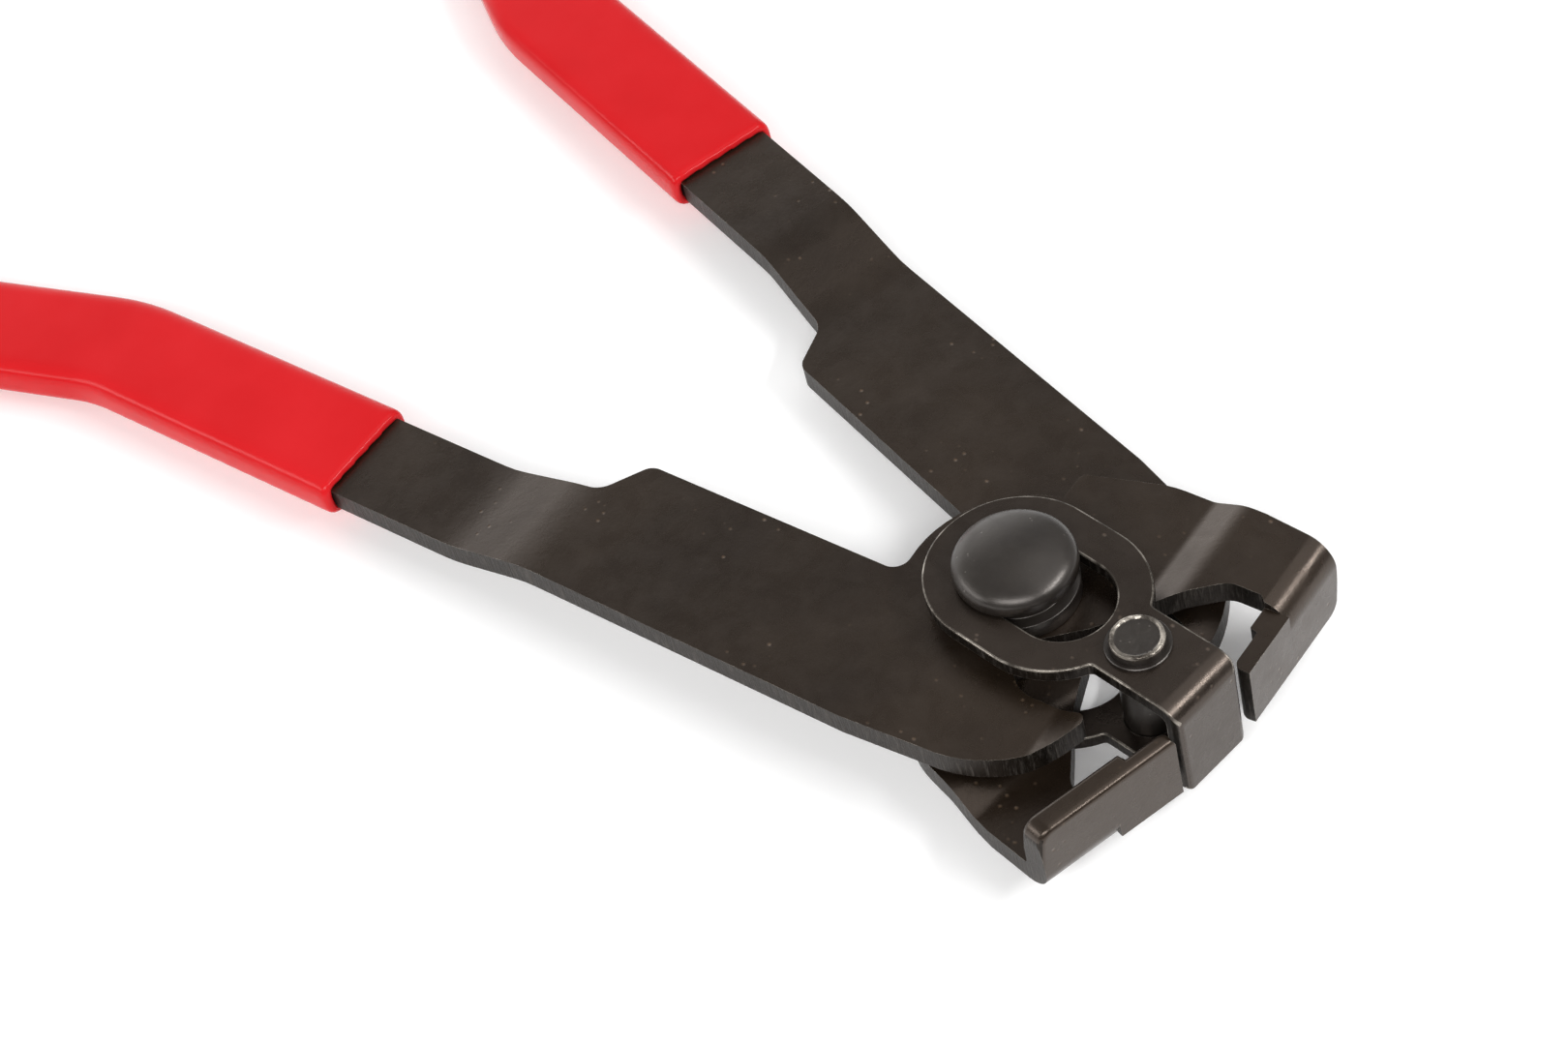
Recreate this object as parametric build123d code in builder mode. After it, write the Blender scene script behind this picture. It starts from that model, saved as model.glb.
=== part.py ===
from build123d import *
from math import cos, radians, sin
import os

# Ear-clamp pliers: two identical pressed arms on one rivet, one turned over.  A presser slides on
# the same rivet: a plate with a folded tab above the arms, a guide plate below them, and a pin
# that joins the two through the arms' cam notches.
# Millimetres.  The origin is on the pivot axis, halfway between the arms; +X points to the jaws,
# +Z up through the rivet head.  An arm is drawn as it lies with the tool closed, its handle along
# -X and its jaw face across +X, then turned by open_angle.

# ---- arms: sheet and levels
open_angle = 9.6  # swing of each arm between closed and fully open
sheet = 3.0  # arm sheet thickness
pivot_washer_t = 1.0  # gap between the arms at the hub
jaw_rise = 1.6  # the jaw end is set this much further from the other arm
jaw_rise_start = 12.5
jaw_rise_end = 16.5
handle_drop_start = -54.0  # from here to the next line the handle comes back to mid height
handle_drop_end = -65.0
jaw_bend_r = 3.0  # inside radius of the two bends at the jaw rise
handle_bend_r = 30.0  # and of the two bends at the handle drop

# ---- arms: plan outline, tool closed
hub_r = 13.8
blade_gap = 3.7  # blade's inner edge to the centre line
blade_depth = 22.8  # blade's outer edge to the centre line
blade_end = -48.8  # where the blade steps in to the handle
blade_round = 2.0
belly = 0.5  # the outer edge bulges by this much ahead of the nose,
belly_x = -8.5  # here
handle_gap = 10.4
handle_w = 12.8
step_length = 3.6  # length of the slope from blade to handle
step_rise = 1.0
step_round = 3.0
bow_start = -126.0  # the handle bows outwards here,
bow_length = 33.0
bow_out = 9.5  # by this much,
handle_end = -206.0  # and runs on to here
bow_r = 26.0
shoulder = (-3.0, 17.3)
shoulder_round = 1.0
neck_start = 7.0
neck_end = 19.0
neck_round = 12.0
jaw_span = 20.3  # neck's outer edge to the centre line
jaw_taper = 0.9  # the jaw narrows by this much towards its face
nose_center = (2.0, -7.6)
nose_r = 15.0
nose_gap = 11.6  # nose's inner edge to the centre line
nose_round = 1.2
pocket_r = 5.0  # the pocket that the cam edge starts from
pocket_end = (5.7, -4.3)
cam_start = (9.6, -0.8)
cam_end = (14.2, 5.0)
cam_round = 4.0
neck_gap = 10.3  # neck's inner edge to the centre line
neck_inner_x = 20.4
neck_inner_round = 3.0

# ---- jaws
jaw_reach = 28.0  # pivot to the jaw faces
fold_r = 0.4  # inside radius of the fold
lip_gap = 1.25  # jaw lip to the centre line when closed
lip_t = 2.0  # lips are thinned from behind
lip_thin_end = 6.3
lip_step = 0.3  # slope between the thin and the full wall
lip_end = 9.6  # from here out the wall is folded from the neck
lip_round = 1.0
lip_drop = 1.0  # the lip's edge is this much below the neck

# ---- grips
grip_start = -83.6
grip_wall = 1.2
grip_round = 1.8
grip_mouth_round = 0.7

# ---- rivet stack
rivet_r = 4.0
pivot_fit = 0.06  # running clearance of the arms on the rivet
head_r = 7.0
head_side = 2.3
head_crown = 1.2
head_play = 0.2  # presser plate to rivet head
foot_t = 1.6
foot_bevel = 1.0
washer_r = 9.0
collar_r = 6.8
collar_t = 2.1
lower_collar_t = 1.2
boss_r = 5.4

# ---- presser plate
plate_t = 1.8
plate_play = 0.1  # plate to the collar it slides on
ring_r = 10.4
ring_stretch = 6.0  # distance between the two centres of the ring
slot_play = 0.3  # boss to the sides of the slot
slot_length = 7.0  # distance between the two centres of the slot
tab_side_play = 0.7  # tab to the jaw lips when the tool is open
tab_setback = 1.05  # tab's face behind the jaw faces
tab_overhang = 1.1  # tab's bottom below the jaw walls
tab_fold_r = 0.8
tab_round = 1.0
tab_corner = 1.2
strap_fillet = 0.7
guide_reach = 5.5  # guide plate's front end ahead of the pin's axis
guide_round = 3.0

# ---- presser pin
pin_x = 17.55
pin_r = 2.85
pin_overhang = 1.1  # pin's end below the guide plate
pin_head_r = 3.05
pin_flange_r = 3.67
pin_flange_t = 0.35
pin_head_h = 1.6
pin_round = 0.3

# ---- levels worked out from the above
hub_low = pivot_washer_t / 2
hub_high = hub_low + sheet
jaw_high = hub_high + jaw_rise
collar_top = hub_high + collar_t
plate_low = collar_top + plate_play
plate_high = plate_low + plate_t
head_low = plate_high + head_play
slot_r = boss_r + slot_play
handle_mid = handle_gap + handle_w / 2
handle_outer = handle_gap + handle_w
turn = radians(open_angle)
lip_rear_opening = (jaw_reach - lip_t) * sin(turn) + lip_gap * cos(turn)
tab_half = lip_rear_opening - tab_side_play
tab_front = jaw_reach - tab_setback
tab_bottom = -jaw_high - tab_overhang
guide_high = -hub_high - lower_collar_t - plate_play
guide_low = guide_high - plate_t
foot_high = guide_low - head_play
pin_bottom = guide_low - pin_overhang
strap_root = (ring_stretch + (ring_r**2 - tab_half**2) ** 0.5, tab_half)
beyond = 300.0  # past the tool's end, for cutting tools

upper_frame = Plane.XY.rotated((0, 0, open_angle))
lower_frame = Plane((0, 0, 0), x_dir=Vector(1, 0, 0).rotate(Axis.Z, -open_angle), z_dir=(0, 0, -1))


def side_plane(frame):
    """The upright plane along an arm, its X along the arm and its Y up."""
    return Plane(frame.origin, x_dir=frame.x_dir, z_dir=-frame.y_dir)


def round_corner(sketch, point, radius):
    """Round the corner of a sketch that is nearest to a point."""
    fillet(sketch.vertices().sort_by_distance((*point, 0))[0], radius)


def handle_outline(frame, grow):
    """The bowed handle strip, grown outwards by a wall."""
    with BuildLine() as spine:
        FilletPolyline(
            (handle_drop_end, -handle_mid),
            (bow_start, -handle_mid),
            (bow_start - bow_length, -handle_mid - bow_out),
            (handle_end + handle_w / 2, -handle_mid - bow_out),
            radius=bow_r,
        )
    with BuildSketch(frame) as strip:
        add(make_face(spine.wire().offset_2d(handle_w / 2 + grow)))
    return strip


def arm_outline(frame):
    """Blade, hub, nose, cam notch and neck, seen from above with the tool closed."""
    hub_start = (-((hub_r**2 - blade_gap**2) ** 0.5), -blade_gap)
    hub_side = (-hub_r * 0.8, hub_r * 0.6)
    hub_stop = (shoulder[0], (hub_r**2 - shoulder[0] ** 2) ** 0.5)
    step_start = (blade_end - step_length, -handle_gap + step_rise)
    nose_low = (nose_center[0], nose_center[1] - nose_r)
    nose_mid = (nose_center[0] + nose_r * 0.6, nose_center[1] - nose_r * 0.8)
    nose_drop = nose_gap + nose_center[1]
    nose_tip = (nose_center[0] + (nose_r**2 - nose_drop**2) ** 0.5, -nose_gap)
    pocket_start = (cam_start[0], -nose_gap)
    pocket_mid = (cam_start[0] - pocket_r, -nose_gap + pocket_r)
    with BuildSketch(frame) as outline:
        with BuildLine():
            Polyline(
                (handle_drop_end, -handle_outer),
                (handle_drop_end, -handle_gap),
                step_start,
                (blade_end, -blade_gap),
                hub_start,
            )
            ThreePointArc(hub_start, hub_side, hub_stop)
            Polyline(
                hub_stop,
                shoulder,
                (neck_start, jaw_span),
                (neck_end, jaw_span),
                (jaw_reach, jaw_span - jaw_taper),
                (jaw_reach, lip_end),
                (jaw_reach - sheet, lip_end),
                (jaw_reach - sheet - (neck_gap - lip_end), neck_gap),
                (neck_inner_x, neck_gap),
                cam_end,
                cam_start,
                pocket_end,
            )
            ThreePointArc(pocket_end, pocket_mid, pocket_start)
            Line(pocket_start, nose_tip)
            ThreePointArc(nose_tip, nose_mid, nose_low)
            Polyline(
                nose_low,
                (belly_x, -blade_depth - belly),
                (handle_drop_start, -blade_depth),
                (handle_drop_end, -handle_outer),
            )
        make_face()
        round_corner(outline, (blade_end, -blade_gap), blade_round)
        round_corner(outline, step_start, step_round)
        round_corner(outline, hub_start, blade_round)
        round_corner(outline, shoulder, shoulder_round)
        round_corner(outline, (neck_start, jaw_span), neck_round)
        round_corner(outline, nose_tip, nose_round)
        round_corner(outline, (neck_inner_x, neck_gap), neck_inner_round)
        round_corner(outline, cam_start, cam_round)
    return outline


def arm_profile(frame):
    """The arm sheet seen from its side, from the handle end to the folded jaw wall."""
    outer_r = fold_r + sheet
    with BuildSketch(side_plane(frame)) as profile:
        with BuildLine():
            Polyline(
                (jaw_reach - outer_r, jaw_high),
                (jaw_rise_end, jaw_high),
                (jaw_rise_start, hub_high),
                (handle_drop_start, hub_high),
                (handle_drop_end, sheet / 2),
                (-beyond, sheet / 2),
                (-beyond, -sheet / 2),
                (handle_drop_end, -sheet / 2),
                (handle_drop_start, hub_low),
                (jaw_rise_start, hub_low),
                (jaw_rise_end, jaw_high - sheet),
                (jaw_reach - outer_r, jaw_high - sheet),
            )
            RadiusArc(
                (jaw_reach - outer_r, jaw_high - sheet),
                (jaw_reach - sheet, jaw_high - outer_r),
                fold_r,
            )
            Polyline(
                (jaw_reach - sheet, jaw_high - outer_r),
                (jaw_reach - sheet, -jaw_high),
                (jaw_reach, -jaw_high),
                (jaw_reach, jaw_high - outer_r),
            )
            RadiusArc(
                (jaw_reach, jaw_high - outer_r),
                (jaw_reach - outer_r, jaw_high),
                -outer_r,
            )
        make_face()
        round_corner(profile, (jaw_rise_end, jaw_high), jaw_bend_r + sheet)
        round_corner(profile, (jaw_rise_end, jaw_high - sheet), jaw_bend_r)
        round_corner(profile, (jaw_rise_start, hub_high), jaw_bend_r)
        round_corner(profile, (jaw_rise_start, hub_low), jaw_bend_r + sheet)
        round_corner(profile, (handle_drop_start, hub_high), handle_bend_r + sheet)
        round_corner(profile, (handle_drop_start, hub_low), handle_bend_r)
        round_corner(profile, (handle_drop_end, sheet / 2), handle_bend_r)
        round_corner(profile, (handle_drop_end, -sheet / 2), handle_bend_r + sheet)
    return profile


def jaw_lip(frame):
    """The free end of the jaw wall: thinned from behind, its rear corner rounded."""
    with BuildSketch(frame.offset(-jaw_high)) as lip:
        with BuildLine():
            Polyline(
                (jaw_reach, lip_end),
                (jaw_reach, lip_gap),
                (jaw_reach - lip_t, lip_gap),
                (jaw_reach - lip_t, lip_thin_end),
                (jaw_reach - sheet, lip_thin_end + lip_step),
                (jaw_reach - sheet, lip_end),
                close=True,
            )
        make_face()
        round_corner(lip, (jaw_reach - lip_t, lip_gap), lip_round)
    return lip


def pressed_arm(frame):
    """One arm: the side profile cut to the plan outline, with the jaw lip and the rivet hole."""
    profile = arm_profile(frame)
    outline = arm_outline(frame)
    handle = handle_outline(frame, 0)
    lip = jaw_lip(frame)
    with BuildPart() as plan:
        extrude(outline.sketch, amount=jaw_high + sheet, both=True)
        extrude(handle.sketch, amount=jaw_high + sheet, both=True)
    with BuildPart() as arm:
        extrude(profile.sketch, amount=beyond / 4, both=True)
        add(plan.part, mode=Mode.INTERSECT)
        extrude(lip.sketch, amount=2 * jaw_high - lip_drop)
        with Locations(Location(frame)):
            Hole(rivet_r + pivot_fit)
    return arm


def dipped_grip(frame, arm):
    """The vinyl sleeve on a handle, closed at the end and skin-tight on the steel."""
    reach = abs(handle_end)
    with BuildPart() as grip:
        extrude(handle_outline(frame, grip_wall).sketch, amount=sheet / 2 + grip_wall, both=True)
        with BuildSketch(frame) as keep:
            with Locations((grip_start - reach / 2, -handle_mid)):
                Rectangle(reach, reach)
        extrude(keep.sketch, amount=sheet + grip_wall, both=True, mode=Mode.INTERSECT)
        mouth = grip.faces().filter_by(Plane(frame.origin, z_dir=frame.x_dir)).edges()
        flats = grip.faces().filter_by(Axis.Z).edges()
        fillet([edge for edge in flats if edge not in mouth], grip_round)
        mouth = grip.faces().filter_by(Plane(frame.origin, z_dir=frame.x_dir)).edges()
        fillet(mouth, grip_mouth_round)
        add(arm.part, mode=Mode.SUBTRACT)
    return grip


os.makedirs("parts", exist_ok=True)

# The arms: the lower one is the upper one turned over.
upper_arm = pressed_arm(upper_frame)
upper_arm.part.label = "upper_arm"
export_step(upper_arm.part, "parts/upper_arm.step")

lower_arm = pressed_arm(lower_frame)
lower_arm.part.label = "lower_arm"
export_step(lower_arm.part, "parts/lower_arm.step")

# The grips.
upper_grip = dipped_grip(upper_frame, upper_arm)
upper_grip.part.label = "upper_arm_grip"
export_step(upper_grip.part, "parts/upper_arm_grip.step")

lower_grip = dipped_grip(lower_frame, lower_arm)
lower_grip.part.label = "lower_arm_grip"
export_step(lower_grip.part, "parts/lower_arm_grip.step")

# The main rivet, turned about Z: domed head, shank, and a foot set over under the guide plate.
crown_r = (head_r**2 + head_crown**2) / (2 * head_crown)
with BuildPart() as main_rivet:
    with BuildSketch(Plane.XZ):
        with BuildLine():
            Polyline(
                (0, foot_high - foot_t),
                (head_r - foot_bevel, foot_high - foot_t),
                (head_r, foot_high - foot_t / 2),
                (head_r, foot_high),
                (rivet_r, foot_high),
                (rivet_r, head_low),
                (head_r, head_low),
                (head_r, head_low + head_side),
            )
            RadiusArc(
                (head_r, head_low + head_side),
                (0, head_low + head_side + head_crown),
                -crown_r,
            )
            Line((0, head_low + head_side + head_crown), (0, foot_high - foot_t))
        make_face()
    revolve(axis=Axis.Z)
main_rivet.part.label = "main_rivet"
export_step(main_rivet.part, "parts/main_rivet.step")

# The washer between the arms.
with BuildPart() as pivot_washer:
    with BuildSketch(Plane.XY.offset(-pivot_washer_t / 2)):
        Circle(washer_r)
        Circle(rivet_r, mode=Mode.SUBTRACT)
    extrude(amount=pivot_washer_t)
pivot_washer.part.label = "pivot_washer"
export_step(pivot_washer.part, "parts/pivot_washer.step")


def slider_bush(seat, collar):
    """A collar that a sliding plate runs on, with a boss inside the plate's slot."""
    boss = plate_play + plate_t + head_play
    with BuildPart() as bush:
        with BuildSketch(seat):
            Circle(collar_r)
        extrude(amount=collar)
        with BuildSketch(seat.offset(collar)):
            Circle(boss_r)
        extrude(amount=boss)
        with Locations(Location(seat.offset(collar + boss))):
            Hole(rivet_r)
    return bush


# The two bushes, on the upper arm and under the lower one.
upper_bush = slider_bush(Plane.XY.offset(hub_high), collar_t)
upper_bush.part.label = "upper_bush"
export_step(upper_bush.part, "parts/upper_bush.step")

lower_bush = slider_bush(Plane((0, 0, -hub_high), z_dir=(0, 0, -1)), lower_collar_t)
lower_bush.part.label = "lower_bush"
export_step(lower_bush.part, "parts/lower_bush.step")

# The presser plate: a ring with a slot, a strap, and a tab folded down between the jaws.
tab_outer_r = tab_fold_r + plate_t
with BuildPart() as presser_plate:
    with BuildSketch(Plane.XZ):
        with BuildLine():
            Polyline(
                (tab_front - tab_outer_r, plate_high),
                (-ring_r - 1, plate_high),
                (-ring_r - 1, plate_low),
                (tab_front - tab_outer_r, plate_low),
            )
            RadiusArc(
                (tab_front - tab_outer_r, plate_low),
                (tab_front - plate_t, plate_high - tab_outer_r),
                tab_fold_r,
            )
            Polyline(
                (tab_front - plate_t, plate_high - tab_outer_r),
                (tab_front - plate_t, tab_bottom),
                (tab_front, tab_bottom),
                (tab_front, plate_high - tab_outer_r),
            )
            RadiusArc(
                (tab_front, plate_high - tab_outer_r),
                (tab_front - tab_outer_r, plate_high),
                -tab_outer_r,
            )
        make_face()
    extrude(amount=2 * ring_r, both=True)
    with BuildSketch(Plane.XY.offset(tab_bottom)) as plate_plan:
        with Locations((ring_stretch / 2, 0)):
            SlotCenterToCenter(ring_stretch, 2 * ring_r)
        with Locations((tab_front / 2, 0)):
            Rectangle(tab_front, 2 * tab_half)
        round_corner(plate_plan, strap_root, strap_fillet)
        round_corner(plate_plan, (strap_root[0], -tab_half), strap_fillet)
        round_corner(plate_plan, (tab_front, tab_half), tab_round)
        round_corner(plate_plan, (tab_front, -tab_half), tab_round)
        with Locations((slot_length / 2, 0)):
            SlotCenterToCenter(slot_length, 2 * slot_r, mode=Mode.SUBTRACT)
        with Locations((pin_x, 0)):
            Circle(pin_r, mode=Mode.SUBTRACT)
    extrude(amount=plate_high - tab_bottom, mode=Mode.INTERSECT)
    with BuildSketch(Plane.YZ.offset(tab_front - 2 * plate_t)):
        with Locations((tab_half, tab_bottom), (-tab_half, tab_bottom)):
            Rectangle(2 * tab_corner, 2 * tab_corner)
        tab_corner_side = tab_half - tab_corner
        tab_corner_level = tab_bottom + tab_corner
        with Locations((tab_corner_side, tab_corner_level), (-tab_corner_side, tab_corner_level)):
            Circle(tab_corner, mode=Mode.SUBTRACT)
    extrude(amount=3 * plate_t, mode=Mode.SUBTRACT)
presser_plate.part.label = "presser_plate"
export_step(presser_plate.part, "parts/presser_plate.step")

# The guide plate: the same ring and strap below the arms, flat and cut off ahead of the pin.
guide_front = pin_x + guide_reach
with BuildPart() as guide_plate:
    with BuildSketch(Plane.XY.offset(guide_low)) as guide_plan:
        with Locations((ring_stretch / 2, 0)):
            SlotCenterToCenter(ring_stretch, 2 * ring_r)
        with Locations((guide_front / 2, 0)):
            Rectangle(guide_front, 2 * tab_half)
        round_corner(guide_plan, strap_root, strap_fillet)
        round_corner(guide_plan, (strap_root[0], -tab_half), strap_fillet)
        round_corner(guide_plan, (guide_front, tab_half), guide_round)
        round_corner(guide_plan, (guide_front, -tab_half), guide_round)
        with Locations((slot_length / 2, 0)):
            SlotCenterToCenter(slot_length, 2 * slot_r, mode=Mode.SUBTRACT)
        with Locations((pin_x, 0)):
            Circle(pin_r, mode=Mode.SUBTRACT)
    extrude(amount=plate_t)
guide_plate.part.label = "guide_plate"
export_step(guide_plate.part, "parts/guide_plate.step")

# The presser pin: joins the two plates through both cam notches, its head set over on top.
with BuildPart() as presser_pin:
    with BuildSketch(Plane.XZ):
        with BuildLine():
            Polyline(
                (pin_x, pin_bottom),
                (pin_x + pin_r - pin_round, pin_bottom),
                (pin_x + pin_r, pin_bottom + pin_round),
                (pin_x + pin_r, plate_high),
                (pin_x + pin_flange_r, plate_high),
                (pin_x + pin_flange_r, plate_high + pin_flange_t),
                (pin_x + pin_head_r, plate_high + pin_head_h - pin_round),
                (pin_x + pin_head_r - pin_round, plate_high + pin_head_h),
                (pin_x, plate_high + pin_head_h),
                close=True,
            )
        make_face()
    revolve(axis=Axis((pin_x, 0, 0), (0, 0, 1)))
presser_pin.part.label = "presser_pin"
export_step(presser_pin.part, "parts/presser_pin.step")
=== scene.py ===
import math

import bmesh
import bpy
from mathutils import Matrix, Vector


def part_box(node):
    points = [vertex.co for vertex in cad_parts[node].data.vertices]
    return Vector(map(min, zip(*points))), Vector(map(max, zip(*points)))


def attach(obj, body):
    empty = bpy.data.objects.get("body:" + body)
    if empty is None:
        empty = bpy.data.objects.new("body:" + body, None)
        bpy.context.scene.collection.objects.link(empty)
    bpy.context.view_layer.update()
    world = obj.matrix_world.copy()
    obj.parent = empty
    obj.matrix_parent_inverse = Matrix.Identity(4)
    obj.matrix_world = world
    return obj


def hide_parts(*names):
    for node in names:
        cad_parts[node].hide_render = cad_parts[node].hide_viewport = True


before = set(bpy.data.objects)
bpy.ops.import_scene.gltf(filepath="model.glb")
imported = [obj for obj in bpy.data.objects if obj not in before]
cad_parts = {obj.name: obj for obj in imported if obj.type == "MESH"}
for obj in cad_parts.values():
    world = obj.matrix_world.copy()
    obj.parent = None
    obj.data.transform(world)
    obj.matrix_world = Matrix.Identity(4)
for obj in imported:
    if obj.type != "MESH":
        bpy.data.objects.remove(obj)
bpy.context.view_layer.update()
mm = 0.001


def deselectAll():
    if bpy.context.object and bpy.context.object.mode != "OBJECT":
        bpy.ops.object.mode_set(mode="OBJECT")
    bpy.ops.object.select_all(action="DESELECT")


def pick(obj):
    deselectAll()
    obj.select_set(True)
    bpy.context.view_layer.objects.active = obj


def edit(obj):
    pick(obj)
    bpy.ops.object.mode_set(mode="EDIT")
    bpy.ops.mesh.select_mode(type="FACE")
    bpy.ops.mesh.select_all(action="DESELECT")


def doneEditing():
    bpy.ops.object.mode_set(mode="OBJECT")


def selectFaces(obj, test):
    mesh = bmesh.from_edit_mesh(obj.data)
    mesh.faces.ensure_lookup_table()
    for face in mesh.faces:
        face.select = bool(test(face.calc_center_median(), face.normal))
    mesh.select_flush_mode()
    bmesh.update_edit_mesh(obj.data)


def placeInMesh(obj):
    pick(obj)
    bpy.ops.object.transform_apply(location=True, rotation=True, scale=True)


def addModifier(obj, kind, **settings):
    modifier = obj.modifiers.new(kind.title(), kind)
    for key, value in settings.items():
        setattr(modifier, key, value)
    return modifier


def applyModifiers(obj):
    pick(obj)
    for modifier in list(obj.modifiers):
        bpy.ops.object.modifier_apply(modifier=modifier.name)


def smooth(obj, degrees=35):
    pick(obj)
    bpy.ops.object.shade_smooth_by_angle(angle=math.radians(degrees))


def copyOfNode(node, name):
    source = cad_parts[node]
    copy = source.copy()
    copy.data = source.data.copy()
    copy.name = name
    copy.data.name = name
    copy.parent = None
    for key in list(copy.keys()):
        del copy[key]
    copy.data.materials.clear()
    bpy.context.scene.collection.objects.link(copy)
    edit(copy)
    bpy.ops.mesh.select_all(action="SELECT")
    bpy.ops.mesh.remove_doubles(threshold=0.000002)
    bpy.ops.mesh.dissolve_limited(angle_limit=math.radians(0.4))
    bpy.ops.mesh.normals_make_consistent(inside=False)
    doneEditing()
    return copy


def finishPiece(obj, body, nodes=()):
    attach(obj, body)
    if nodes:
        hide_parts(*nodes)


def startMaterial(name):
    material = bpy.data.materials.new(name)
    material.use_nodes = True
    tree = material.node_tree
    shader = tree.nodes["Principled BSDF"]
    coords = tree.nodes.new("ShaderNodeTexCoord")
    return material, tree, shader, coords.outputs["Object"]


def noiseNode(tree, coords, scale, detail=4, roughness=0.55, distortion=0):
    node = tree.nodes.new("ShaderNodeTexNoise")
    node.inputs["Scale"].default_value = scale
    node.inputs["Detail"].default_value = detail
    node.inputs["Roughness"].default_value = roughness
    node.inputs["Distortion"].default_value = distortion
    tree.links.new(coords, node.inputs["Vector"])
    return node.outputs["Fac"]


def stretched(tree, coords, scale):
    node = tree.nodes.new("ShaderNodeMapping")
    node.inputs["Scale"].default_value = scale
    tree.links.new(coords, node.inputs["Vector"])
    return node.outputs["Vector"]


def rampNode(tree, fac, stops):
    node = tree.nodes.new("ShaderNodeValToRGB")
    ramp = node.color_ramp
    while len(ramp.elements) < len(stops):
        ramp.elements.new(0.5)
    for element, (position, colour) in zip(ramp.elements, stops):
        element.position = position
        element.color = (*colour, 1) if len(colour) == 3 else colour
    tree.links.new(fac, node.inputs["Fac"])
    return node.outputs["Color"]


def grey(value):
    return (value, value, value)


def mixColour(tree, fac, first, second):
    node = tree.nodes.new("ShaderNodeMix")
    node.data_type = "RGBA"
    sockets = (node.inputs["Factor"], node.inputs[6], node.inputs[7])  # 6 and 7 are the two colours
    for socket, value in zip(sockets, (fac, first, second)):
        if isinstance(value, bpy.types.NodeSocket):
            tree.links.new(value, socket)
        elif isinstance(value, tuple):
            socket.default_value = (*value, 1)
        else:
            socket.default_value = value
    return node.outputs[2]  # the mixed colour


def bumpNode(tree, height, distance, strength=1.0, normal=None):
    node = tree.nodes.new("ShaderNodeBump")
    node.inputs["Distance"].default_value = distance
    node.inputs["Strength"].default_value = strength
    tree.links.new(height, node.inputs["Height"])
    if normal:
        tree.links.new(normal, node.inputs["Normal"])
    return node.outputs["Normal"]


def roughBetween(tree, shader, fac, limits):
    low, high = limits
    spread = rampNode(tree, fac, [(0.3, grey(low)), (0.7, grey(high))])
    tree.links.new(spread, shader.inputs["Roughness"])


def setGloss(shader, look):
    shader.inputs["IOR"].default_value = look["ior"]
    shader.inputs["Specular Tint"].default_value = (*look["tint"], 1)


def pitsMask(tree, coords, scale, size):
    cells = tree.nodes.new("ShaderNodeTexVoronoi")
    cells.inputs["Scale"].default_value = scale
    tree.links.new(coords, cells.inputs["Vector"])
    dots = rampNode(tree, cells.outputs["Distance"], [(0, grey(1)), (size, grey(0))])
    thin = rampNode(tree, noiseNode(tree, coords, scale * 0.21, 2), [(0.52, grey(0)), (0.60, grey(1))])
    node = tree.nodes.new("ShaderNodeMath")
    node.operation = "MULTIPLY"
    tree.links.new(dots, node.inputs[0])
    tree.links.new(thin, node.inputs[1])
    return node.outputs["Value"]


steelLook = {
    "dark": (0.0062, 0.0038, 0.0023),
    "light": (0.0150, 0.0100, 0.0064),
    "roughness": (0.22, 0.36),
    "ior": 1.60,
    "tint": (1.0, 0.82, 0.70),
    "pitScale": 620,
    "pitSize": 0.18,
    "pitDepth": 0.00006,
    "pitPale": 6,  # how many times paler the pits are than the light steel
    "grain": 0.000018,
    "soft": 0.00009,
}
plateLift = (1.0, 1.12, 1.35)  # the plates' coat is a little bluer than the arms'


def blackSteel(name, look, lift=(1.0, 1.0, 1.0)):
    material, tree, shader, coords = startMaterial(name)
    drift = noiseNode(tree, coords, 42, 5, 0.6)
    fine = noiseNode(tree, coords, 2100, 5, 0.65)
    dark = tuple(channel * more for channel, more in zip(look["dark"], lift))
    light = tuple(channel * more for channel, more in zip(look["light"], lift))
    colour = rampNode(tree, drift, [(0.35, dark), (0.66, light)])
    pits = pitsMask(tree, coords, look["pitScale"], look["pitSize"])
    colour = mixColour(tree, pits, colour, tuple(channel * look["pitPale"] for channel in light))
    tree.links.new(colour, shader.inputs["Base Color"])
    patchy = noiseNode(tree, coords, 260, 4, 0.6, 0.4)
    roughBetween(tree, shader, patchy, look["roughness"])
    setGloss(shader, look)
    grain = bumpNode(tree, fine, look["grain"])
    soft = bumpNode(tree, noiseNode(tree, coords, 210, 4), look["soft"], 0.6, grain)
    tree.links.new(bumpNode(tree, pits, -look["pitDepth"], 0.8, soft), shader.inputs["Normal"])
    return material


edgeLook = {
    "steel": (0.42, 0.38, 0.33),
    "coat": (0.075, 0.064, 0.053),
    "worn": (0.44, 0.66),
    "roughness": (0.24, 0.38),
    "metallic": 0.75,
    "scratches": 0.00002,
}


def wornEdge(name, look):
    material, tree, shader, coords = startMaterial(name)
    wear = noiseNode(tree, coords, 240, 6, 0.7, 0.6)
    low, high = look["worn"]
    mask = rampNode(tree, wear, [(low, grey(0)), (high, grey(1))])
    tree.links.new(mixColour(tree, mask, look["coat"], look["steel"]), shader.inputs["Base Color"])
    roughBetween(tree, shader, noiseNode(tree, coords, 1400, 3), look["roughness"])
    shader.inputs["Metallic"].default_value = look["metallic"]
    scratches = bumpNode(tree, noiseNode(tree, coords, 900, 4), look["scratches"])
    tree.links.new(scratches, shader.inputs["Normal"])
    return material


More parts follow.
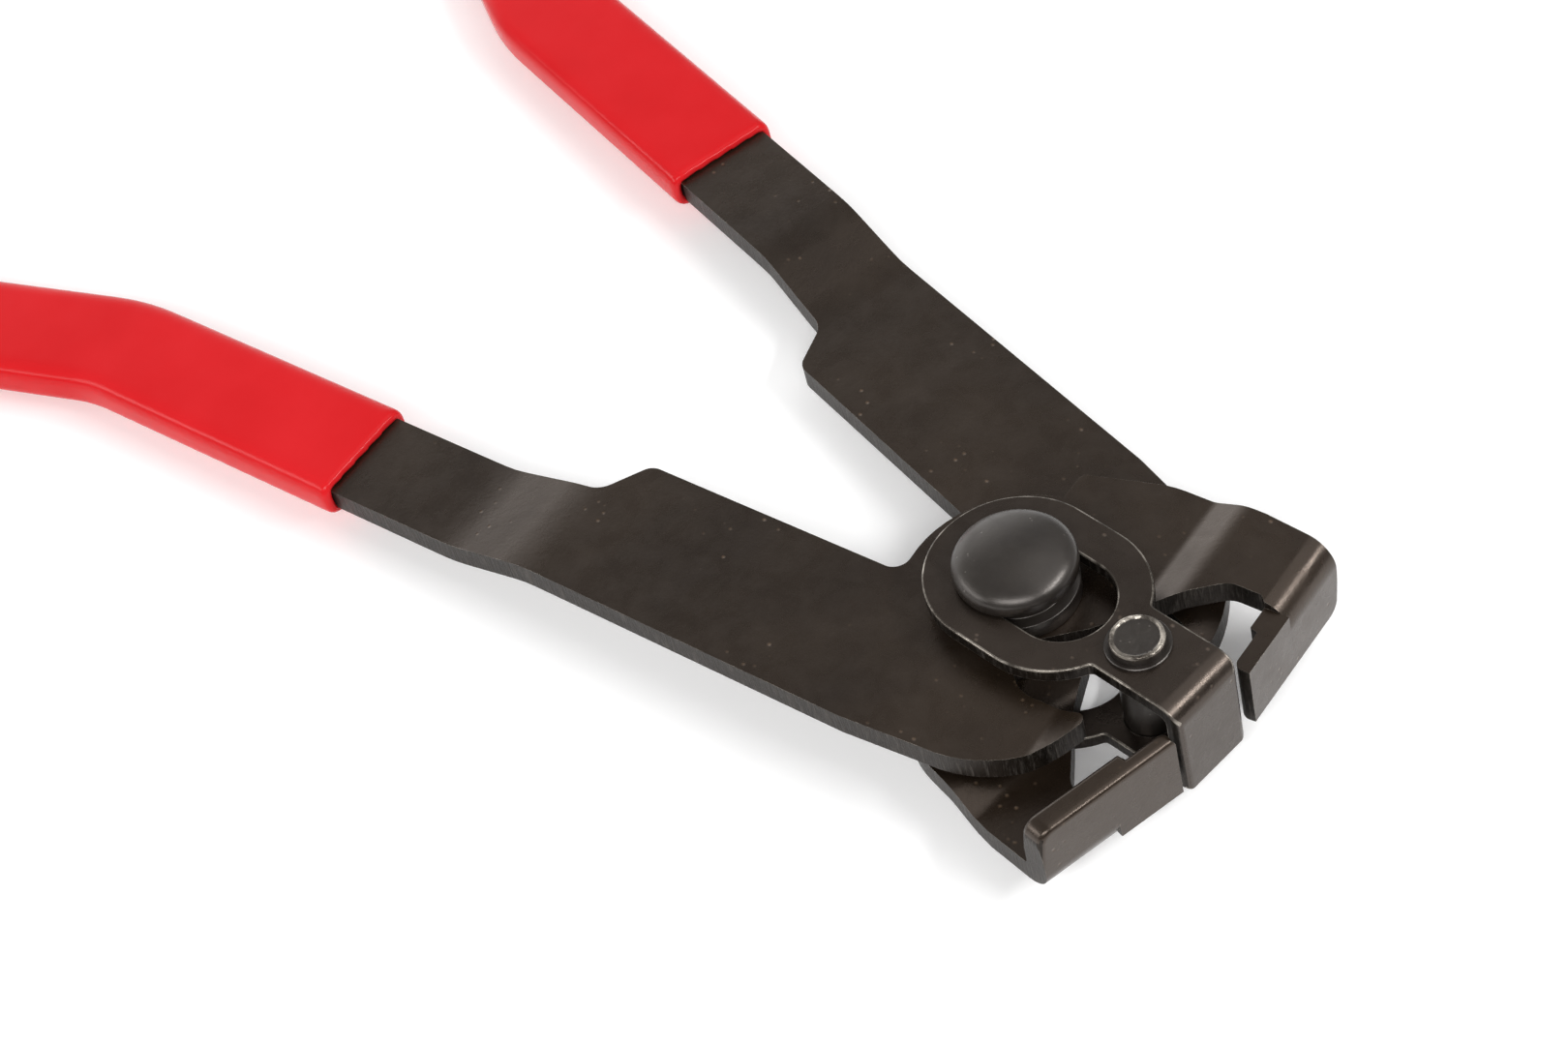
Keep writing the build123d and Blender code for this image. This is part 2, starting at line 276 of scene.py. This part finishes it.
# The cut sides get a darker base colour than the top steel: painted shade, standing in for the dark
# plates below that these sides reflect. The pale streaks are real shear marks.
shadedSideLook = {
    "dark": (0.002, 0.0015, 0.001),
    "light": (0.010, 0.008, 0.006),
    "scratch": (0.10, 0.09, 0.08),
    "roughness": (0.30, 0.46),
    "ior": 1.32,
    "tint": (1.0, 0.80, 0.68),
    "flatten": (1, 1, 0.10),  # draws the streaks out along the sheet's thickness
    "streakDepth": 0.00010,
    "blotchDepth": 0.00008,
}


def shearedSide(name, look):
    material, tree, shader, coords = startMaterial(name)
    streaks = noiseNode(tree, stretched(tree, coords, look["flatten"]), 2600, 4, 0.7)
    blotch = noiseNode(tree, coords, 420, 5, 0.65, 0.5)
    # Darker than the top steel: painted shade on the cut sides, varied by random blotches.
    colour = rampNode(tree, blotch, [(0.34, look["dark"]), (0.70, look["light"])])
    scratch = rampNode(tree, streaks, [(0.52, grey(0)), (0.72, grey(0.55))])
    tree.links.new(mixColour(tree, scratch, colour, look["scratch"]), shader.inputs["Base Color"])
    roughBetween(tree, shader, streaks, look["roughness"])
    setGloss(shader, look)
    first = bumpNode(tree, streaks, look["streakDepth"])
    tree.links.new(bumpNode(tree, blotch, look["blotchDepth"], 0.7, first), shader.inputs["Normal"])
    return material


rivetLook = {
    "dark": (0.009, 0.007, 0.006),
    "light": (0.017, 0.014, 0.011),
    "speck": (0.10, 0.09, 0.08),
    "speckScale": 900,
    "speckSize": 0.14,
    "speckDepth": 0.00004,
    "roughness": (0.30, 0.40),
    "ior": 1.62,
    "tint": (1.0, 0.93, 0.88),
    "grain": 0.000010,
}


def rivetSteel(name, look):
    material, tree, shader, coords = startMaterial(name)
    drift = noiseNode(tree, coords, 190, 4, 0.6)
    colour = rampNode(tree, drift, [(0.3, look["dark"]), (0.72, look["light"])])
    specks = pitsMask(tree, coords, look["speckScale"], look["speckSize"])
    tree.links.new(mixColour(tree, specks, colour, look["speck"]), shader.inputs["Base Color"])
    roughBetween(tree, shader, noiseNode(tree, coords, 600, 4), look["roughness"])
    setGloss(shader, look)
    grain = bumpNode(tree, noiseNode(tree, coords, 2400, 4, 0.6), look["grain"])
    tree.links.new(bumpNode(tree, specks, -look["speckDepth"], 0.8, grain), shader.inputs["Normal"])
    return material


gripLook = {
    "deep": (0.57, 0.011, 0.014),
    "bright": (0.62, 0.015, 0.019),
    "roughness": (0.14, 0.20),
    "ior": 1.22,
    "sag": 0.00012,
    "grain": 0.000006,
}


def dippedVinyl(name, look):
    material, tree, shader, coords = startMaterial(name)
    drift = noiseNode(tree, coords, 70, 4, 0.5)
    colour = rampNode(tree, drift, [(0.3, look["deep"]), (0.7, look["bright"])])
    tree.links.new(colour, shader.inputs["Base Color"])
    roughBetween(tree, shader, noiseNode(tree, coords, 420, 5, 0.6), look["roughness"])
    shader.inputs["IOR"].default_value = look["ior"]
    sag = bumpNode(tree, noiseNode(tree, coords, 95, 2), look["sag"], 0.5)
    grain = bumpNode(tree, noiseNode(tree, coords, 3200, 3), look["grain"], 1, sag)
    tree.links.new(grain, shader.inputs["Normal"])
    return material


armSteel = blackSteel("arm_steel", steelLook)
plateSteel = blackSteel("presser_steel", steelLook, plateLift)
edgeSteel = wornEdge("worn_edge", edgeLook)
sideSteel = shearedSide("sheared_side", shadedSideLook)
headSteel = rivetSteel("rivet_steel", rivetLook)
gripVinyl = dippedVinyl("grip_vinyl", gripLook)
print("materials made")

openAngle = 9.6  # degrees that each arm stands open
armSheet = {"sheet": 3.0 * mm, "edge": 0.27 * mm, "lip": 0.75 * mm, "corner": 2.0 * mm}
plateSheet = {"sheet": 1.8 * mm, "edge": 0.24 * mm, "turn": 0, "body": "presser"}
# wallUp says which way the folded jaw wall points
upperArm = {"node": "upper_arm", "body": "upper_lever", "turn": openAngle, "wallUp": -1, **armSheet}
lowerArm = {"node": "lower_arm", "body": "lower_lever", "turn": -openAngle, "wallUp": 1, **armSheet}
presser = {"node": "presser_plate", **plateSheet}
guide = {"node": "guide_plate", **plateSheet}
sharpBend = math.radians(38)
edgeIndex, sideIndex = 1, 2  # places in a sheet's list of materials


def bevelWhere(obj, test, width, steps):
    edit(obj)
    bpy.ops.mesh.select_mode(type="EDGE")
    mesh = bmesh.from_edit_mesh(obj.data)
    for edge in mesh.edges:
        edge.select = bool(test(*(vertex.co for vertex in edge.verts), edge.calc_face_angle(0)))
    picked = sum(edge.select for edge in mesh.edges)
    bmesh.update_edit_mesh(obj.data)
    bpy.ops.mesh.bevel(offset=width, segments=steps, affect="EDGES", clamp_overlap=True)
    doneEditing()
    return picked


def roundWall(obj, piece, forward, wallBack):
    tipSlack, backSlack = 0.05 * mm, 0.2 * mm
    cornerReach, rimReach = 1.0 * mm, 2.3 * mm  # how far in from the wall's end and tip
    up = Vector((0, 0, piece["wallUp"]))
    side = forward.cross(up)
    wall = [vertex.co for vertex in obj.data.vertices if vertex.co.dot(forward) > wallBack]
    tip = max(point.dot(up) for point in wall)
    outer = max(point.dot(side) for point in wall)

    def corner(a, b, bend):
        along = abs((a - b).normalized().dot(forward)) > 0.9
        atTip = min(a.dot(up), b.dot(up)) > tip - tipSlack
        atEnd = min(a.dot(side), b.dot(side)) > outer - cornerReach
        ahead = min(a.dot(forward), b.dot(forward)) > wallBack - backSlack
        return along and atTip and atEnd and ahead

    def rim(a, b, bend):
        high = min(a.dot(up), b.dot(up)) > tip - rimReach
        ahead = min(a.dot(forward), b.dot(forward)) > wallBack - backSlack
        level = abs(a.z - b.z) < 0.3 * (a - b).length
        atEnd = min(a.dot(side), b.dot(side)) > outer - rimReach
        return high and ahead and (level or atEnd) and bend > sharpBend

    corners = bevelWhere(obj, corner, piece["corner"], 5)
    rims = bevelWhere(obj, rim, piece["lip"], 3)
    print(piece["node"], "wall corner", corners, "rim", rims)


def pressedSheet(piece, name, face):
    obj = copyOfNode(piece["node"], name)
    for material in (face, edgeSteel, sideSteel):
        obj.data.materials.append(material)
    turn = math.radians(piece["turn"])
    forward = Vector((math.cos(turn), math.sin(turn), 0))  # square to the folded wall
    reach = max(vertex.co.dot(forward) for vertex in obj.data.vertices)
    wallBack = reach - piece["sheet"] - 0.1 * mm
    if "lip" in piece:
        roundWall(obj, piece, forward, wallBack)
    for polygon in obj.data.polygons:
        upright = abs(polygon.normal.z) < 0.35
        onWall = polygon.center.dot(forward) > wallBack
        wallFace = onWall and abs(polygon.normal.dot(forward)) > 0.8
        if upright and not wallFace:  # the sheared sides of the sheet
            polygon.material_index = sideIndex
    addModifier(
        obj,
        "BEVEL",
        width=piece["edge"],
        segments=3,
        limit_method="ANGLE",
        angle_limit=sharpBend,
        material=edgeIndex,
        use_clamp_overlap=True,
        miter_outer="MITER_ARC",
    )
    applyModifiers(obj)
    smooth(obj, 40)
    addModifier(obj, "WEIGHTED_NORMAL", mode="FACE_AREA", keep_sharp=True, weight=50)
    applyModifiers(obj)
    finishPiece(obj, piece["body"], [piece["node"]])


pressedSheet(upperArm, "upper_arm_steel", armSteel)
pressedSheet(lowerArm, "lower_arm_steel", armSteel)
pressedSheet(presser, "presser_plate_steel", plateSteel)
pressedSheet(guide, "guide_plate_steel", plateSteel)
print("sheet pieces made")

grips = {
    "upper_arm_grip": {"body": "upper_lever", "name": "upper_grip_sleeve"},
    "lower_arm_grip": {"body": "lower_lever", "name": "lower_grip_sleeve"},
}
gripMesh = {"voxel": 0.42 * mm, "smoothing": 6}


def dippedGrip(node, piece):
    obj = copyOfNode(node, piece["name"])
    obj.data.materials.append(gripVinyl)
    addModifier(obj, "REMESH", mode="VOXEL", voxel_size=gripMesh["voxel"], use_smooth_shade=True)
    addModifier(obj, "SMOOTH", factor=0.5, iterations=gripMesh["smoothing"])
    applyModifiers(obj)
    smooth(obj, 60)
    finishPiece(obj, piece["body"], [node])


for node, piece in grips.items():
    dippedGrip(node, piece)
print("grips made")


def turnedPiece(name, center, steps, segments=96):
    first, second = steps[0], steps[1]
    bpy.ops.mesh.primitive_cylinder_add(
        vertices=segments,
        radius=first[0],
        depth=second[1] - first[1],
        location=(center[0], center[1], (first[1] + second[1]) / 2),
        end_fill_type="NGON",
    )
    obj = bpy.context.object
    obj.name = name
    obj.data.name = name
    placeInMesh(obj)
    edit(obj)
    top = second[1]
    selectFaces(obj, lambda place, normal: normal.z > 0.9)
    radius = first[0]
    for nextRadius, height in steps[1:]:
        if nextRadius != radius or height != top:
            bpy.ops.mesh.extrude_region_move(TRANSFORM_OT_translate={"value": (0, 0, height - top)})
            ratio = nextRadius / radius
            middle = (center[0], center[1], height)
            bpy.ops.transform.resize(value=(ratio, ratio, 1), center_override=middle)
        radius, top = nextRadius, height
    bpy.ops.mesh.select_all(action="SELECT")
    bpy.ops.mesh.normals_make_consistent(inside=False)
    doneEditing()
    return obj


deselectAll()
rivetLow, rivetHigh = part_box("main_rivet")
rivet = {
    "head": rivetHigh.x,
    "shank": 4.0 * mm,
    "foot": 1.6 * mm,
    "crown": 1.2 * mm,
    "roll": 3.2 * mm,  # the head's edge is rolled over this far
    "rollDrop": 1.9 * mm,
    "headSide": 2.3 * mm,
    "domeRings": (0.92, 0.84, 0.74, 0.63, 0.5, 0.37, 0.24, 0.12, 0.03),  # shares of the dome's radius
}


def mainRivet():
    r, low, high = rivet["head"], rivetLow.z, rivetHigh.z
    headLow = high - rivet["crown"] - rivet["headSide"]
    shoulder = high - rivet["crown"] * 0.45
    foot = low + rivet["foot"]
    steps = [(r * 0.80, low), (r * 0.80, low + 0.02 * mm), (r * 0.93, low + 0.25 * mm)]
    steps += [(r, low + 0.8 * mm), (r, foot), (rivet["shank"], foot), (rivet["shank"], headLow)]
    steps += [(r - 0.3 * mm, headLow), (r - 0.05 * mm, headLow + 0.12 * mm), (r, headLow + 0.4 * mm)]
    for turn in range(0, 71, 10):  # the rolled edge
        a = math.radians(turn)
        height = shoulder - rivet["rollDrop"] * (1 - math.sin(a))
        steps.append((r - rivet["roll"] * (1 - math.cos(a)), height))
    edgeRadius, edgeHeight = steps[-1]
    for share in rivet["domeRings"]:
        steps.append((edgeRadius * share, edgeHeight + (high - edgeHeight) * (1 - share**2)))
    obj = turnedPiece("main_rivet_steel", (0, 0), steps)
    obj.data.materials.append(headSteel)
    smooth(obj, 50)
    finishPiece(obj, "pivot", ["main_rivet"])


rings = {"nodes": ("pivot_washer", "upper_bush", "lower_bush"), "edge": 0.12 * mm, "bend": 40}


def ringPiece(node):
    obj = copyOfNode(node, node + "_steel")
    obj.data.materials.append(headSteel)
    sharp = {"limit_method": "ANGLE", "angle_limit": math.radians(rings["bend"])}
    addModifier(obj, "BEVEL", width=rings["edge"], segments=2, **sharp)
    applyModifiers(obj)
    smooth(obj, rings["bend"])
    finishPiece(obj, "pivot", [node])


pinLow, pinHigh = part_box("presser_pin")
pin = {
    "shank": 2.85 * mm,
    "flange": (pinHigh.x - pinLow.x) / 2,
    "flangeHeight": 0.35 * mm,
    "head": 3.05 * mm,
    "height": 1.6 * mm,
    "topSink": 0.14 * mm,
    "topRings": (0.93, 0.84, 0.72, 0.60, 0.48, 0.36, 0.24, 0.12, 0.03),  # shares of the top's radius
    "brightRim": 0.30 * mm,
    "dentSize": 0.7 * mm,
    "dentDepth": 0.16 * mm,
}


def presserPin():
    x, low, high = (pinLow.x + pinHigh.x) / 2, pinLow.z, pinHigh.z
    shank, flange, head = pin["shank"], pin["flange"], pin["head"]
    seat = high - pin["height"]
    ledge = seat + pin["flangeHeight"]
    top = head - 0.40 * mm
    steps = [(shank - 0.25 * mm, low), (shank - 0.25 * mm, low + 0.02 * mm), (shank, low + 0.25 * mm)]
    steps += [(shank, seat), (flange, seat), (flange, ledge), (flange - 0.10 * mm, ledge + 0.08 * mm)]
    steps += [(head + 0.06 * mm, ledge + 0.02 * mm), (head, high - 0.40 * mm)]
    steps += [(head - 0.03 * mm, high - 0.16 * mm), (head - 0.16 * mm, high - 0.03 * mm), (top, high)]
    for share in pin["topRings"]:
        steps.append((top * share, high - pin["topSink"]))
    obj = turnedPiece("presser_pin_steel", (x, 0), steps, 80)
    for material in (headSteel, edgeSteel):
        obj.data.materials.append(material)
    for polygon in obj.data.polygons:  # the rim that the hammer left bright
        reach = (polygon.center - Vector((x, 0, polygon.center.z))).length
        if polygon.center.z > high - pin["brightRim"] and reach > top * 0.95:
            polygon.material_index = 1
    group = obj.vertex_groups.new(name="hammered")
    struck = [v.index for v in obj.data.vertices if v.co.z > high - 0.2 * mm]
    group.add(struck, 1, "REPLACE")
    dents = bpy.data.textures.new("dents", "CLOUDS")
    dents.noise_scale = pin["dentSize"]
    dents.noise_depth = 3
    beaten = {"texture": dents, "strength": pin["dentDepth"], "mid_level": 0.75}
    addModifier(obj, "DISPLACE", direction="Z", vertex_group="hammered", **beaten)
    applyModifiers(obj)
    smooth(obj, 40)
    finishPiece(obj, "presser", ["presser_pin"])


mainRivet()
presserPin()
for node in rings["nodes"]:
    ringPiece(node)
print("turned pieces made")

studio = {
    "target": Vector((-28.66, -8.64, 3.5)) * mm,
    "azimuth": -32.48,
    "elevation": 48.26,
    "roll": -16.47,
    "distance": 375.2 * mm,
    "lens": 76.19,
}
floorLook = {
    "size": 6.0,
    "gripRest": 8 * mm,  # the grips touch it this far from their rear ends
    "gap": 0.02 * mm,
    "white": (0.93, 0.93, 0.93, 1),
    "glow": (1.0, 0.99, 0.985, 1),
    "glowStrength": 0.16,
    "roughness": 0.6,
}
sky = {
    "rearSide": (-0.95, 0.30, 0.0),
    "rearSpread": (0.74, 0.92),
    "bright": 1.9,
    "dim": 0.36,
    "frontSide": (0.60, -0.48, 0.08),
    "frontSpread": (0.18, 0.42),
    "front": 0.05,
}
# azimuth, elevation, distance, size and radiance of each light
lights = {
    "key": (70, 64, 1.1, (1.0, 0.7), 0.85),
    "front": (29, 41, 0.9, (0.6, 0.075), 34.0),
    "side": (-52, 44, 0.9, (0.7, 0.26), 9.0),
    "rear": (-127, 24, 0.9, (0.8, 0.20), 5.0),
}


def makeFloor():
    foot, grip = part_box("main_rivet")[0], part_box("upper_arm_grip")[0]
    frontX, frontZ = 0.0, foot.z
    backX, backZ = grip.x + floorLook["gripRest"], grip.z
    slope = math.atan2(backZ - frontZ, frontX - backX)
    bpy.ops.mesh.primitive_plane_add(size=floorLook["size"])
    floor = bpy.context.object
    floor.name = "floor"
    floor.rotation_euler = (0, slope, 0)
    floor.location = (frontX, 0, frontZ - floorLook["gap"])
    material, _, shader, _ = startMaterial("floor_white")
    shader.inputs["Base Color"].default_value = floorLook["white"]
    shader.inputs["Roughness"].default_value = floorLook["roughness"]
    shader.inputs["Emission Color"].default_value = floorLook["glow"]
    shader.inputs["Emission Strength"].default_value = floorLook["glowStrength"]
    floor.data.materials.append(material)


def areaLight(name, azimuth, elevation, distance, size, radiance):
    a, e = math.radians(azimuth), math.radians(elevation)
    away = Vector((math.cos(e) * math.cos(a), math.cos(e) * math.sin(a), math.sin(e)))
    light = bpy.data.lights.new(name, "AREA")
    light.shape = "RECTANGLE"
    light.size, light.size_y = size
    light.energy = radiance * math.pi * size[0] * size[1]
    obj = bpy.data.objects.new(name, light)
    bpy.context.scene.collection.objects.link(obj)
    obj.location = studio["target"] + away * distance
    obj.rotation_euler = away.to_track_quat("Z", "Y").to_euler()


def makeCamera():
    a, e, roll = (math.radians(studio[key]) for key in ("azimuth", "elevation", "roll"))
    back = Vector((math.cos(e) * math.cos(a), math.cos(e) * math.sin(a), math.sin(e)))
    right = Vector((0, 0, 1)).cross(back).normalized()
    up = back.cross(right)
    turnedRight = right * math.cos(roll) + up * math.sin(roll)
    turnedUp = up * math.cos(roll) - right * math.sin(roll)
    camera = bpy.data.cameras.new("camera")
    camera.lens = studio["lens"]
    camera.sensor_width = 36
    camera.sensor_fit = "HORIZONTAL"
    camera.clip_start = 0.01
    camera.dof.use_dof = False
    obj = bpy.data.objects.new("camera", camera)
    bpy.context.scene.collection.objects.link(obj)
    turn = Matrix((turnedRight, turnedUp, back)).transposed()
    obj.matrix_world = Matrix.Translation(studio["target"] + back * studio["distance"]) @ turn.to_4x4()
    bpy.context.scene.camera = obj


def skyTowards(tree, coords, side, spread, shades):
    along = tree.nodes.new("ShaderNodeVectorMath")
    along.operation = "DOT_PRODUCT"
    along.inputs[1].default_value = side
    tree.links.new(coords.outputs["Generated"], along.inputs[0])
    stops = [(at, grey(shade)) for at, shade in zip(spread, shades)]
    return rampNode(tree, along.outputs["Value"], stops)


def makeWorld():
    world = bpy.data.worlds.new("studio")
    world.use_nodes = True
    tree = world.node_tree
    background = tree.nodes["Background"]
    coords = tree.nodes.new("ShaderNodeTexCoord")
    shade = skyTowards(tree, coords, sky["rearSide"], sky["rearSpread"], (sky["dim"], sky["bright"]))
    low = skyTowards(tree, coords, sky["frontSide"], sky["frontSpread"], (0, 1))
    tree.links.new(mixColour(tree, low, shade, grey(sky["front"])), background.inputs["Color"])
    background.inputs["Strength"].default_value = 1
    bpy.context.scene.world = world


makeFloor()
for name, setting in lights.items():
    areaLight(name, *setting)
makeCamera()
makeWorld()
bpy.context.scene.view_settings.view_transform = "Standard"
print("stage set")
